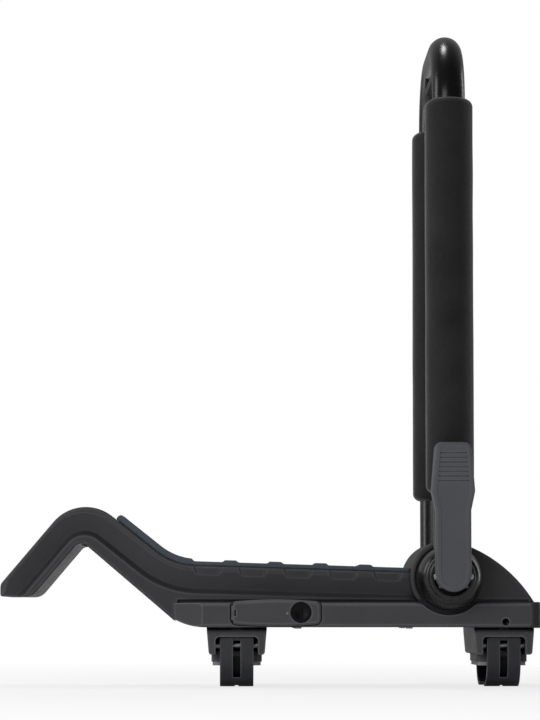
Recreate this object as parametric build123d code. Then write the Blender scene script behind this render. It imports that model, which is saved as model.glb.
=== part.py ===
from build123d import *
import math
import os

# J-style kayak carrier, in millimetres, +Z up.
# The origin is on the crossbar seat plane, midway between the two feet.
# X runs along the crossbar, from the hook to the folding arm. Y runs along the hull.

# Clearances
RUN_GAP = 0.3
RUNNING_FIT = 0.06
SEAT_FIT = 0.1

# Base rail
RAIL_BOTTOM = 37.3
RAIL_HEIGHT = 23.7
RAIL_HALF_WIDTH = 73.0
RAIL_WALL = 4.0
RAIL_ROOF = 2.6
RAIL_RIGHT = 155.0
RAIL_SHOULDER = -163.0
RAIL_NOSE = -190.0
RAIL_CHAMFER = 2.0
CAP_LENGTH = 8.0
CAP_PROUD = 0.7
CAP_PLUG = 4.0
PLATE_THICKNESS = 2.0
POST_RADIUS = 4.0
POST_SETBACK = 19.0
POST_X = (-70.0, 38.0)
PLATE_SCREW_RADIUS = 1.6
PLATE_SCREW_HEAD = 3.4
PLATE_SCREW_LENGTH = 14.0
SCREW_HEAD_HEIGHT = 1.4

# Cradle body and hook
CRADLE_INSET = 12.5
CRADLE_WALL = 3.2
CRADLE_RIGHT = 60.0
HOOK_RISE = 49.8
HOOK_FALL = -38.5
SEAT_FALL = -1.77
HOOK_TIP = (-358.4, 78.6)
HOOK_PEAK_X = -281.5
SEAT_BEND_X = -190.7
HOOK_RADIUS = 41.0
SEAT_RADIUS = 64.0
HOOK_BOTTOM = 67.0
HOOK_TIP_RADIUS = 8.0
HOOK_TOE_RADIUS = 2.5
HOOK_HEEL_RADIUS = 14.0
TIP_TAPER_LENGTH = 7.0
TIP_TAPER_DEPTH = 3.5
CRADLE_EDGE = 2.0
HOOK_DEPTH = 31.4
NECK_DEPTH = 40.4
UNDER_FALL = -40.5
UNDER_RADIUS = 8.0
NOSE_RADIUS = 60.0
GAP_HEIGHT = 3.0
GAP_DEPTH = 4.0
GAP_MARGIN = 3.0
GROOVE_DEPTH = 6.0
GROOVE_ABOVE = 5.0
GROOVE_BELOW = 17.5
GROOVE_OFFSET = 19.5
GROOVE_SEAT_OFFSET = 22.0
GROOVE_HOOK_RADIUS = 25.0
GROOVE_SEAT_RADIUS = 90.0
RIB_THICKNESS = 2.5
RIB_X = (-240.0, -150.0, -40.0)
POCKET_COUNT = 5
POCKET_PITCH = 43.6
POCKET_FIRST = -157.4
POCKET_TOP = 36.5
POCKET_FOOT = 20.7
POCKET_HEIGHT = 11.5
POCKET_DEPTH = 1.4
POCKET_DRAFT = 30.0
POCKET_CORNER = 3.0

# Hull pad
PAD_THICKNESS = 4.6
PAD_INSET = 4.0
PAD_LEFT = -247.0
PAD_RIGHT = 50.0
PAD_RIB_WIDTH = 12.7
PAD_RIB_HEIGHT = 1.9
PAD_END_RISE = 2.4
PAD_END_ROUND = 4.0
PAD_STEP_X = -172.5

# Hinge tower and hinge
HINGE_X = 75.0
HINGE_HEIGHT = 24.0
TOWER_INSET = 7.0
TOWER_RADIUS = 37.0
TOWER_WALL = 4.0
TOWER_EDGE = 2.5
TAIL_ANGLE = 35.0
TAIL_MID = (128.2, 35.0)
TAIL_OVERHANG = 3.5
TOWER_GAP_DEPTH = 2.5
SCOOP_GAP = 4.7
SCOOP_CORNER = 8.0
RING_INNER = 30.0
RING_OUTER = 32.6
RING_DEPTH = 2.5
BOSS_RADIUS = 13.0
BOSS_LENGTH = 14.0
BOLT_RADIUS = 5.0
BUSHING_RADIUS = 8.0
WASHER_RADIUS = 24.0
WASHER_THICKNESS = 1.6
WASHER_PROUD = 0.2

# Folding arm
TUBE_DIAMETER = 31.75
TUBE_WALL = 2.0
LEG_OFFSET = 18.5
ARM_RISE = 519.0
BEND_RADIUS = 57.0
FOAM_DIAMETER = 47.0
FOAM_START = 81.0
FOAM_LENGTH = 381.0
FOAM_ROUND = 6.0
HUB_BASE_RADIUS = 31.3
HUB_TIP_RADIUS = 22.0
HUB_LENGTH = 46.5
HUB_SKIRT = 10.0
HUB_DOME = 27.0
HUB_LEDGE = 1.0
HUB_ROUND = 1.5
SOCKET_FLOOR = 12.0
CUP_RADIUS = 18.0
CUP_DEPTH = 5.5
CAM_WASHER_THICKNESS = 1.5
NUT_POCKET_RADIUS = 10.5
NUT_POCKET_DEPTH = 12.0
NUT_ACROSS_FLATS = 16.0
NUT_THICKNESS = 8.0
HUB_CAP_THICKNESS = 3.5
HUB_CAP_WALL = 2.0
GUIDE_WIDTH = 26.0
GUIDE_SETBACK = 45.0
GUIDE_THICKNESS = 5.5
GUIDE_SLOT = 6.0
GUIDE_POST = 5.0
GUIDE_SCREW_RADIUS = 2.0
GUIDE_SCREW_HEAD = 4.0

# Clamping lever
LEVER_PIVOT = 14.0
LEVER_THICKNESS = 14.0
LEVER_PROUD = 1.0
LEVER_TOP = 128.0
LEVER_FOOT = 14.6
LEVER_HALF_WIDTH = 17.1
LEVER_HEAD_HALF = 20.9
LEVER_TOP_HALF = 17.0
LEVER_FLARE_START = 63.0
LEVER_FLARE_END = 81.0
LEVER_CORNER = 7.0
LEVER_SKIRT = 4.0
LEVER_DRAFT = 3.0
LEVER_EDGE = 2.0
LEVER_LIP = 4.0
PANEL_RIM = 5.2
PANEL_DEPTH = 0.5
GRIP_COUNT = 7
GRIP_PITCH = 4.4
GRIP_FIRST = 90.9
GRIP_WIDTH = 1.1
GRIP_DEPTH = 0.6
LEVER_OPEN = 60.0
CAM_SLIDE = 1.2
CAM_INNER = 6.5
CAM_OUTER = 13.5
CAM_PIN_RADIUS = 3.0
CAM_PIN_PROUD = 1.6
TONGUE_HALF = 5.0
TONGUE_GAP = 0.4

# Lock cover
COVER_LEFT = -135.25
COVER_RIGHT = -48.4
COVER_MID_Z = 51.2
COVER_HALF_HEIGHT = 10.7
COVER_CROWN = 2.2
COVER_CORNER = 5.5
COVER_THICKNESS = 4.5
COVER_PROUD = 3.0
COVER_BEVEL = 2.0
COVER_GAP = 0.9
COVER_PIN_RADIUS = 1.25
COVER_PIN_HALF = 7.0
LUG_RADIUS = 2.2
LUG_HALF = 2.8
LOCK_X = -67.9
LOCK_Z = 51.7
LOCK_FACE_RADIUS = 9.8
LOCK_FACE_DEPTH = 3.0
LOCK_FACE_PROUD = 0.6
LOCK_SLOT_WIDTH = 3.2
LOCK_SLOT_LENGTH = 15.0
LOCK_SLOT_DEPTH = 2.0
LOCK_HOUSING_RADIUS = 6.0
LOCK_SHANK_RADIUS = 3.5
LOCK_DEPTH = 11.7
LOCK_SWING_ROOM = 1.3
LATCH_LENGTH = 11.5
LATCH_WIDTH = 7.0
LATCH_THICKNESS = 2.9
LATCH_EYE_WALL = 1.2

# Crossbar feet
FOOT_X = 129.6
FOOT_TOP_HALF = 29.25
FOOT_BOTTOM_HALF = 27.0
FOOT_NECK_HALF = 24.5
FOOT_SETBACK = 7.0
FOOT_BOTTOM = 10.7
FOOT_CORNER = 3.0
FOOT_BROW = 6.0
FOOT_WELL_HALF = 20.5
FOOT_WELL_TOP = 53.5
FOOT_END_WALL = 3.8
FOOT_WINDOW_TOP = 28.0
FOOT_WINDOW_CORNER = 4.0
FOOT_FLOOR = 3.3
FOOT_FLOOR_SETBACK = 10.0
FOOT_RIB = 6.0
ACCESS_RADIUS = 7.0
KEY_HOLE_RADIUS = 3.4
SCREW_Z = 42.5
FOOT_SCREW_RADIUS = 3.0
FOOT_SCREW_HEAD = 5.5
FOOT_SCREW_HEAD_HEIGHT = 4.0
FOOT_SCREW_Y = 28.0
SADDLE_HALF = 24.6
SEAT_PAD_THICKNESS = 3.7
SEAT_PAD_HALF = 23.5
SEAT_PAD_INSET = 1.0

# Jaws and tie screws
JAW_HALF_WIDTH = 16.3
JAW_SETBACK = 0.7
JAW_THICKNESS = 3.5
JAW_TOP = 27.6
JAW_BEND_Z = 6.0
JAW_BEND_RADIUS = 26.5
JAW_LIP = 6.0
JAW_SLOT_HALF = 3.6
JAW_SLOT_BOTTOM = -11.2
JAW_NOTCH = 1.8
JAW_NOTCH_REACH = 8.0
JAW_PIN_DEPTH = 8.5
JAW_PIN_Z = 20.0
JAW_PIN_RADIUS = 3.0
JAW_PIN_HALF = 25.5
KNUCKLE_RADIUS = 7.0
FORK_FLOOR = 1.5
FORK_HALF_WIDTH = 12.0
FORK_HALF_DEPTH = 8.0
FORK_TOP = 49.0
TIE_RADIUS = 3.0
TIE_COLLAR_RADIUS = 5.5
TIE_COLLAR_LENGTH = 2.5
TIE_SOCKET = 3.5
TIE_SOCKET_DEPTH = 5.0
TIE_NUT_RADIUS = 5.0
TIE_NUT_HALF = 11.0
FORK_SCREW_ROOM = 1.6

# Places worked out from the sizes above
RAIL_TOP = RAIL_BOTTOM + RAIL_HEIGHT
ROOF_UNDERSIDE = RAIL_TOP - RAIL_ROOF
RAIL_INNER = RAIL_HALF_WIDTH - RAIL_WALL
POST_Y = RAIL_INNER - POST_SETBACK
CRADLE_HALF_WIDTH = RAIL_HALF_WIDTH - CRADLE_INSET
PAD_HALF_WIDTH = CRADLE_HALF_WIDTH - PAD_INSET
HINGE_Z = RAIL_TOP + HINGE_HEIGHT
ARM_TOP_Z = HINGE_Z + ARM_RISE
TUBE_RADIUS = TUBE_DIAMETER / 2
TOWER_HALF_WIDTH = RAIL_HALF_WIDTH - TOWER_INSET
HUB_BASE_Y = TOWER_HALF_WIDTH + WASHER_PROUD + RUN_GAP
LEG_Y = HUB_BASE_Y + LEG_OFFSET
GUIDE_HALF_LENGTH = LEG_Y - GUIDE_SETBACK
HUB_TIP_Y = HUB_BASE_Y + HUB_LENGTH
CUP_FLOOR_Y = HUB_TIP_Y - CUP_DEPTH
CAM_FACE_Y = CUP_FLOOR_Y + CAM_WASHER_THICKNESS
LEVER_BACK_Y = HUB_TIP_Y + LEVER_PROUD
LEVER_FRONT_Y = LEVER_BACK_Y + LEVER_THICKNESS
PIVOT_Y = CUP_FLOOR_Y + LEVER_PIVOT
COVER_FRONT_Y = RAIL_HALF_WIDTH + COVER_PROUD
COVER_BACK_Y = COVER_FRONT_Y - COVER_THICKNESS
COVER_PIN_Y = COVER_BACK_Y + COVER_THICKNESS / 2
COVER_PIN_X = COVER_LEFT + COVER_THICKNESS / 2
POCKET_FLOOR_Y = COVER_BACK_Y - RUN_GAP - SEAT_FIT
LOCK_INNER_Y = COVER_BACK_Y - LOCK_DEPTH
FOOT_HALF_LENGTH = TOWER_HALF_WIDTH - FOOT_SETBACK
FOOT_WELL_END = FOOT_HALF_LENGTH - FOOT_END_WALL
JAW_OUTER = FOOT_WELL_END - JAW_SETBACK
JAW_PIN_Y = JAW_OUTER - JAW_PIN_DEPTH
TIE_HALF_LENGTH = JAW_OUTER
FOOT_FLOOR_HALF = JAW_PIN_Y - FOOT_FLOOR_SETBACK
WELL_FLOOR_Z = FOOT_BOTTOM + FOOT_FLOOR
REACH = RAIL_RIGHT - HOOK_TIP[0]
QUARTER_TURN = 90.0


def slope_point(start, angle, x):
    """The point at x on the line through start that rises at the angle."""
    return (x, start[1] + math.tan(math.radians(angle)) * (x - start[0]))


def crossing(a, angle_a, b, angle_b):
    """Where the line through a meets the line through b."""
    slope_a = math.tan(math.radians(angle_a))
    slope_b = math.tan(math.radians(angle_b))
    x = (b[1] - a[1] + slope_a * a[0] - slope_b * b[0]) / (slope_a - slope_b)
    return slope_point(a, angle_a, x)


def shifted(point, angle, distance):
    """The point moved square to a line at the angle, downwards."""
    turn = math.radians(angle)
    return (point[0] + math.sin(turn) * distance, point[1] - math.cos(turn) * distance)


def side_solid(sketch, half_width):
    """Extrudes a side view, drawn as X and Z, to both sides of the middle."""
    return extrude(Plane.XZ * sketch, amount=half_width, both=True)


def end_solid(sketch, half_width):
    """Extrudes an end view, drawn as Y and Z, along X to both sides."""
    return extrude(Plane.YZ * sketch, amount=half_width, both=True)


def block(x, y, z):
    """A box between three pairs of limits."""
    size = Box(x[1] - x[0], y[1] - y[0], z[1] - z[0])
    return Pos((x[0] + x[1]) / 2, (y[0] + y[1]) / 2, (z[0] + z[1]) / 2) * size


def rod_y(x, z, y, radius):
    """A round bar along Y between two limits."""
    length = y[1] - y[0]
    return Pos(x, (y[0] + y[1]) / 2, z) * Rot(90, 0, 0) * Cylinder(radius, length)


def rod_x(x, y, z, radius):
    """A round bar along X between two limits."""
    length = x[1] - x[0]
    return Pos((x[0] + x[1]) / 2, y, z) * Rot(0, 90, 0) * Cylinder(radius, length)


def rod_z(x, y, z, radius):
    """A round bar along Z between two limits."""
    return Pos(x, y, (z[0] + z[1]) / 2) * Cylinder(radius, z[1] - z[0])


def far_side(shape):
    """The mirror image on the other side of the middle plane."""
    return mirror(shape, about=Plane.XZ)


# Corner points of the cradle's side view
HOOK_PEAK = slope_point(HOOK_TIP, HOOK_RISE, HOOK_PEAK_X)
SEAT_BEND = slope_point(HOOK_PEAK, HOOK_FALL, SEAT_BEND_X)
INNER_LINE = shifted(HOOK_TIP, HOOK_RISE, HOOK_DEPTH)
UNDER_LINE = shifted(SEAT_BEND, UNDER_FALL, NECK_DEPTH)
UNDER_PEAK = crossing(INNER_LINE, HOOK_RISE, UNDER_LINE, UNDER_FALL)
UNDER_FOOT = crossing(UNDER_PEAK, UNDER_FALL, (0, RAIL_BOTTOM), 0)


def top_line(offset):
    """The cradle's top line from the hook's tip to the tower, moved up square to itself."""
    tip = shifted(HOOK_TIP, HOOK_RISE, -offset)
    peak = crossing(tip, HOOK_RISE, shifted(HOOK_PEAK, HOOK_FALL, -offset), HOOK_FALL)
    seat = shifted(SEAT_BEND, SEAT_FALL, -offset)
    bend = crossing(peak, HOOK_FALL, seat, SEAT_FALL)
    end = slope_point(seat, SEAT_FALL, CRADLE_RIGHT)
    return tip, peak, bend, end


def cradle_outline():
    """Side view of the cradle body above the rail."""
    tip, peak, bend, end = top_line(0)
    heel = crossing(INNER_LINE, HOOK_RISE, (0, HOOK_BOTTOM), 0)
    toe = (HOOK_TIP[0], HOOK_BOTTOM)
    nose = slope_point(UNDER_PEAK, UNDER_FALL, RAIL_NOSE - SEAT_FIT)
    radii = (UNDER_RADIUS, HOOK_HEEL_RADIUS, HOOK_TOE_RADIUS, HOOK_TIP_RADIUS, HOOK_RADIUS, SEAT_RADIUS)
    around = FilletPolyline(nose, UNDER_PEAK, heel, toe, tip, peak, bend, end, radius=radii)
    step = Polyline(end, (CRADLE_RIGHT, RAIL_TOP), (RAIL_NOSE - SEAT_FIT, RAIL_TOP), nose)
    return make_face([*around.edges(), *step.edges()])


def groove_cutter():
    """A V-shaped groove along the near side, between the top edge and the underside."""
    start = shifted(slope_point(HOOK_TIP, HOOK_RISE, HOOK_TIP[0] - GROOVE_OFFSET), HOOK_RISE, GROOVE_OFFSET)
    fall_line = shifted(SEAT_BEND, HOOK_FALL, GROOVE_SEAT_OFFSET)
    peak = crossing(start, HOOK_RISE, fall_line, HOOK_FALL)
    seat_line = shifted(SEAT_BEND, SEAT_FALL, GROOVE_SEAT_OFFSET)
    bend = crossing(peak, HOOK_FALL, seat_line, SEAT_FALL)
    end = slope_point(bend, SEAT_FALL, CRADLE_RIGHT + GROOVE_OFFSET)
    radii = (GROOVE_HOOK_RADIUS, GROOVE_SEAT_RADIUS)
    path = Plane.XZ * FilletPolyline(start, peak, bend, end, radius=radii)
    along = path % 0
    section_plane = Plane(origin=path @ 0, x_dir=(0, -1, 0), z_dir=along)
    face = CRADLE_HALF_WIDTH + SEAT_FIT
    valley = CRADLE_HALF_WIDTH - GROOVE_DEPTH
    corners = [(face, GROOVE_ABOVE), (face, -GROOVE_BELOW), (valley, 0)]
    section = section_plane * make_face(Polyline(*corners, close=True))
    return sweep(section, path=path)


def cradle_plan():
    """Plan view of the cradle, narrower at the hook's tip."""
    left = HOOK_TIP[0]
    half = CRADLE_HALF_WIDTH
    narrow = half - TIP_TAPER_DEPTH
    plan = make_face(Polyline(
        (left, -narrow), (left + TIP_TAPER_LENGTH, -half), (CRADLE_RIGHT, -half),
        (CRADLE_RIGHT, half), (left + TIP_TAPER_LENGTH, half), (left, narrow), close=True))
    return extrude(plan, amount=REACH)


def on_step(edge):
    """True for an edge of the step where the cradle sits on the rail and meets the tower."""
    middle = edge.center()
    seated = middle.Z < RAIL_TOP + SEAT_FIT and middle.X > RAIL_NOSE - 2 * SEAT_FIT
    return seated or middle.X > CRADLE_RIGHT - SEAT_FIT


def cradle_body():
    outline = cradle_outline()
    body = side_solid(outline, CRADLE_HALF_WIDTH) & cradle_plan()
    sides = body.edges().filter_by(lambda edge: abs(abs(edge.center().Y) - CRADLE_HALF_WIDTH) < SEAT_FIT)
    rounded = [edge for edge in sides if not on_step(edge)]
    body = fillet(rounded, CRADLE_EDGE)
    groove = groove_cutter()
    body = body - groove - far_side(groove)
    inner = offset(outline, amount=-CRADLE_WALL, kind=Kind.INTERSECTION)
    opened = inner + Pos(0, -3 * CRADLE_WALL) * inner
    hollow_half = CRADLE_HALF_WIDTH - GROOVE_DEPTH - CRADLE_WALL
    # The hook is closed underneath, and the rest is open
    closed = block((-REACH, HOOK_PEAK_X), (-REACH, REACH), (-REACH, REACH))
    hollow = side_solid(inner, hollow_half) + (side_solid(opened, hollow_half) - closed)
    for x in RIB_X:
        hollow -= block((x - RIB_THICKNESS / 2, x + RIB_THICKNESS / 2), (-REACH, REACH), (-REACH, REACH))
    body -= hollow
    gap = shadow_gap((RAIL_NOSE + GAP_MARGIN, CRADLE_RIGHT), CRADLE_HALF_WIDTH, GAP_DEPTH)
    for cut in (pocket_row(), gap):
        body = body - cut - far_side(cut)
    return body - rod_y(HINGE_X, HINGE_Z, (-REACH, REACH), TOWER_RADIUS + SEAT_FIT)


def shadow_gap(x, half, depth):
    """A narrow gap over the rail's top along the near side, as deep as given."""
    return block(x, (-half - SEAT_FIT, depth - half), (RAIL_TOP, RAIL_TOP + GAP_HEIGHT))


def pocket_row():
    """Shallow trapezoid pockets under the pad, along the near side."""
    row = []
    for index in range(POCKET_COUNT):
        x = POCKET_FIRST + index * POCKET_PITCH
        top = slope_point(SEAT_BEND, SEAT_FALL, x)[1]
        sketch = make_face(Polyline(
            (x - POCKET_TOP / 2, top + POCKET_HEIGHT),
            (x + POCKET_TOP / 2, top + POCKET_HEIGHT),
            (x + POCKET_FOOT / 2, top - POCKET_HEIGHT),
            (x - POCKET_FOOT / 2, top - POCKET_HEIGHT),
            close=True))
        sketch = fillet(sketch.vertices().sort_by(Axis.Y)[:2], POCKET_CORNER)
        mouth = Pos(0, -CRADLE_HALF_WIDTH - SEAT_FIT, 0) * (Plane.XZ * sketch)
        row.append(extrude(mouth, amount=POCKET_DEPTH + SEAT_FIT, dir=(0, 1, 0), taper=POCKET_DRAFT))
    return Part() + row


def pad_line(rise):
    """The pad's run at a height above the cradle, down the slope and along the seat."""
    start = shifted(slope_point(HOOK_PEAK, HOOK_FALL, PAD_LEFT), HOOK_FALL, -rise)
    return (start, *top_line(rise)[2:])


def pad_strip(low, high, left, right):
    """A strip of the pad between two heights and two X limits."""
    lower = FilletPolyline(*pad_line(low), radius=SEAT_RADIUS - low)
    upper = FilletPolyline(*pad_line(high), radius=SEAT_RADIUS - high)
    ends = [Line(lower @ 0, upper @ 0), Line(lower @ 1, upper @ 1)]
    sketch = make_face([*lower.edges(), *upper.edges(), *ends[0].edges(), *ends[1].edges()])
    strip = side_solid(sketch, PAD_HALF_WIDTH)
    return strip & block((left, right), (-REACH, REACH), (-REACH, REACH))


def hull_pad():
    pad = pad_strip(SEAT_FIT, PAD_THICKNESS, -REACH, PAD_RIGHT)
    base = PAD_THICKNESS - SEAT_FIT
    pad += pad_strip(base, PAD_THICKNESS + PAD_END_RISE, -REACH, PAD_STEP_X)
    for index in range(POCKET_COUNT - 1):
        x = POCKET_FIRST + (index + 0.5) * POCKET_PITCH
        half = PAD_RIB_WIDTH / 2
        pad += pad_strip(base, PAD_THICKNESS + PAD_RIB_HEIGHT, x - half, x + half)
    crest = pad.edges().filter_by(Axis.Y).sort_by(Axis.Z)[-1]
    pad = fillet(crest, PAD_END_ROUND)
    return pad - rod_y(HINGE_X, HINGE_Z, (-REACH, REACH), TOWER_RADIUS + SEAT_FIT)


def cover_outline(grow):
    """Side view of the lock cover, crowned above and below."""
    half = COVER_HALF_HEIGHT + grow
    left = COVER_LEFT - grow
    right = COVER_RIGHT + grow
    middle = (left + right) / 2
    top = ThreePointArc((left, COVER_MID_Z + half), (middle, COVER_MID_Z + half + COVER_CROWN),
                        (right, COVER_MID_Z + half))
    bottom = ThreePointArc((left, COVER_MID_Z - half), (middle, COVER_MID_Z - half - COVER_CROWN),
                           (right, COVER_MID_Z - half))
    sides = [Line(top @ 0, bottom @ 0), Line(top @ 1, bottom @ 1)]
    face = make_face([top, bottom, *sides])
    return fillet(face.vertices(), COVER_CORNER + grow)


def slab(sketch, y):
    """A side view cut out between two Y limits on the near side."""
    return side_solid(sketch, REACH) & block((-REACH, REACH), (-y[1], -y[0]), (-REACH, REACH))


def scoop_outline():
    """Room for the hub in the rail's side, with its corners rounded into the rail's top."""
    above = Pos(HINGE_X, RAIL_TOP + TOWER_RADIUS) * Rectangle(4 * TOWER_RADIUS, 2 * TOWER_RADIUS)
    sketch = above + Pos(HINGE_X, HINGE_Z) * Circle(HUB_BASE_RADIUS + SCOOP_GAP)
    corners = sketch.vertices().filter_by(lambda corner: abs(corner.X - HINGE_X) < TOWER_RADIUS)
    return fillet(corners, SCOOP_CORNER)


def base_rail():
    half = RAIL_HALF_WIDTH
    nose = CRADLE_HALF_WIDTH
    plan = make_face(Polyline(
        (RAIL_NOSE, -nose), (RAIL_SHOULDER, -half), (RAIL_RIGHT, -half),
        (RAIL_RIGHT, half), (RAIL_SHOULDER, half), (RAIL_NOSE, nose), close=True))
    rail = extrude(Pos(0, 0, RAIL_BOTTOM) * plan, amount=RAIL_HEIGHT)
    rail = chamfer(rail.edges().filter_by(Axis.X), RAIL_CHAMFER)
    under = FilletPolyline(UNDER_PEAK, UNDER_FOOT, (0, RAIL_BOTTOM), radius=NOSE_RADIUS)
    below = Polyline((0, RAIL_BOTTOM), (0, -REACH), (UNDER_PEAK[0], -REACH), UNDER_PEAK)
    rail -= side_solid(make_face([*under.edges(), *below.edges()]), REACH)
    left = RAIL_SHOULDER + RAIL_WALL
    inside = (-RAIL_INNER, RAIL_INNER)
    rail -= block((left, RAIL_RIGHT), inside, (-REACH, ROOF_UNDERSIDE))
    # A thick cheek closes the rail behind the scoop that clears each hub
    scoop = TOWER_RADIUS - SEAT_FIT
    cheek_inner = TOWER_HALF_WIDTH - RAIL_WALL
    cheek = block((HINGE_X - scoop, HINGE_X + scoop), (-RAIL_INNER, -cheek_inner),
                  (RAIL_BOTTOM + PLATE_THICKNESS, ROOF_UNDERSIDE))
    rail = rail + cheek + far_side(cheek)
    scoop_cut = slab(scoop_outline(), (TOWER_HALF_WIDTH, REACH))
    rail = rail - scoop_cut - far_side(scoop_cut)
    for x in POST_X:
        for y in (-POST_Y, POST_Y):
            rail += rod_z(x, y, (RAIL_BOTTOM + PLATE_THICKNESS, ROOF_UNDERSIDE), POST_RADIUS)
            pilot = (RAIL_BOTTOM, RAIL_BOTTOM + PLATE_SCREW_LENGTH)
            rail -= rod_z(x, y, pilot, PLATE_SCREW_RADIUS)
    for x in (-FOOT_X, FOOT_X):
        rail -= rod_y(x, SCREW_Z, (-REACH, 0), KEY_HOLE_RADIUS)
        for y in (-FOOT_SCREW_Y, FOOT_SCREW_Y):
            rail -= rod_z(x, y, (ROOF_UNDERSIDE, RAIL_TOP), FOOT_SCREW_RADIUS + SEAT_FIT)
    rail -= slab(cover_outline(COVER_GAP), (POCKET_FLOOR_Y, REACH))
    through = (-RAIL_HALF_WIDTH, -RAIL_INNER)
    hole = LOCK_HOUSING_RADIUS + RUN_GAP
    rail -= rod_y(LOCK_X, LOCK_Z, through, hole) + rod_y(LOCK_X + LOCK_SWING_ROOM, LOCK_Z, through, hole)
    latch_half = LATCH_WIDTH / 2 + RUN_GAP
    rail -= block((LOCK_X - LATCH_LENGTH - RUN_GAP, LOCK_X), through, (LOCK_Z - latch_half, LOCK_Z + latch_half))
    lug_z = (COVER_MID_Z - LUG_HALF, COVER_MID_Z + LUG_HALF)
    lug = rod_z(COVER_PIN_X, -COVER_PIN_Y, lug_z, LUG_RADIUS)
    lug += block((COVER_PIN_X - LUG_RADIUS, COVER_PIN_X + LUG_RADIUS), (-COVER_PIN_Y, -POCKET_FLOOR_Y), lug_z)
    rail += lug
    return rail - rod_z(COVER_PIN_X, -COVER_PIN_Y, lug_z, COVER_PIN_RADIUS + RUNNING_FIT)


def rail_end_cap():
    outer = RAIL_HALF_WIDTH + CAP_PROUD
    low = RAIL_BOTTOM - CAP_PROUD
    high = RAIL_TOP + CAP_PROUD
    cap = block((RAIL_RIGHT, RAIL_RIGHT + CAP_LENGTH), (-outer, outer), (low, high))
    cap = fillet(cap.edges().filter_by(Axis.X), RAIL_CHAMFER)
    outside = cap.faces().sort_by(Axis.X)[-1]
    cap = chamfer(outside.edges(), CAP_PROUD)
    inner = RAIL_INNER - SEAT_FIT
    plate_top = RAIL_BOTTOM + PLATE_THICKNESS + SEAT_FIT
    plug_top = ROOF_UNDERSIDE - SEAT_FIT
    plug = block((RAIL_RIGHT - CAP_PLUG, RAIL_RIGHT), (-inner, inner), (plate_top, plug_top))
    middle = FOOT_HALF_LENGTH + SEAT_FIT
    cap = cap + plug - block((0, RAIL_RIGHT), (-middle, middle), (0, HINGE_Z))
    foot_edge = FOOT_X + FOOT_TOP_HALF + SEAT_FIT
    return cap - block((RAIL_RIGHT, foot_edge), (-middle, middle), (0, RAIL_BOTTOM))


def bottom_plate():
    inner = RAIL_INNER - SEAT_FIT
    left = RAIL_SHOULDER + RAIL_WALL + SEAT_FIT
    z = (RAIL_BOTTOM, RAIL_BOTTOM + PLATE_THICKNESS)
    plate = block((left, RAIL_RIGHT - SEAT_FIT), (-inner, inner), z)
    neck = FOOT_NECK_HALF + SEAT_FIT
    length = FOOT_HALF_LENGTH + SEAT_FIT
    for x in (-FOOT_X, FOOT_X):
        plate -= block((x - neck, x + neck), (-length, length), z)
    for x in POST_X:
        for y in (-POST_Y, POST_Y):
            plate -= rod_z(x, y, z, PLATE_SCREW_RADIUS)
    return plate


def bottom_screws():
    group = []
    for x in POST_X:
        for y in (-POST_Y, POST_Y):
            screw = rod_z(x, y, (RAIL_BOTTOM, RAIL_BOTTOM + PLATE_SCREW_LENGTH), PLATE_SCREW_RADIUS)
            head = rod_z(x, y, (RAIL_BOTTOM - SCREW_HEAD_HEIGHT, RAIL_BOTTOM), PLATE_SCREW_HEAD)
            rim = head.faces().sort_by(Axis.Z)[0].edges()
            group.append(screw + fillet(rim, SCREW_HEAD_HEIGHT / 2))
    return Compound(children=group)


def foot_screws():
    group = []
    for x in (-FOOT_X, FOOT_X):
        for y in (-FOOT_SCREW_Y, FOOT_SCREW_Y):
            screw = rod_z(x, y, (FOOT_WELL_TOP, RAIL_TOP), FOOT_SCREW_RADIUS)
            head = rod_z(x, y, (RAIL_TOP, RAIL_TOP + FOOT_SCREW_HEAD_HEIGHT), FOOT_SCREW_HEAD)
            group.append(screw + head)
    return Compound(children=group)


def tower_outline():
    """Side view of the tower: a round top about the hinge and a long sloping tail."""
    left = HINGE_X - math.sqrt(TOWER_RADIUS ** 2 - HINGE_HEIGHT ** 2)
    turn = math.radians(TAIL_ANGLE)
    crest = (HINGE_X + TOWER_RADIUS * math.sin(turn), HINGE_Z + TOWER_RADIUS * math.cos(turn))
    start = (left, RAIL_TOP)
    end = (RAIL_RIGHT + TAIL_OVERHANG, RAIL_TOP)
    side = math.sqrt(0.5) * TOWER_RADIUS
    around = ThreePointArc(start, (HINGE_X - side, HINGE_Z + side), crest)
    tail = ThreePointArc(crest, (TAIL_MID[0], RAIL_TOP + TAIL_MID[1]), end)
    return make_face([around, tail, Line(end, start)])


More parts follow.
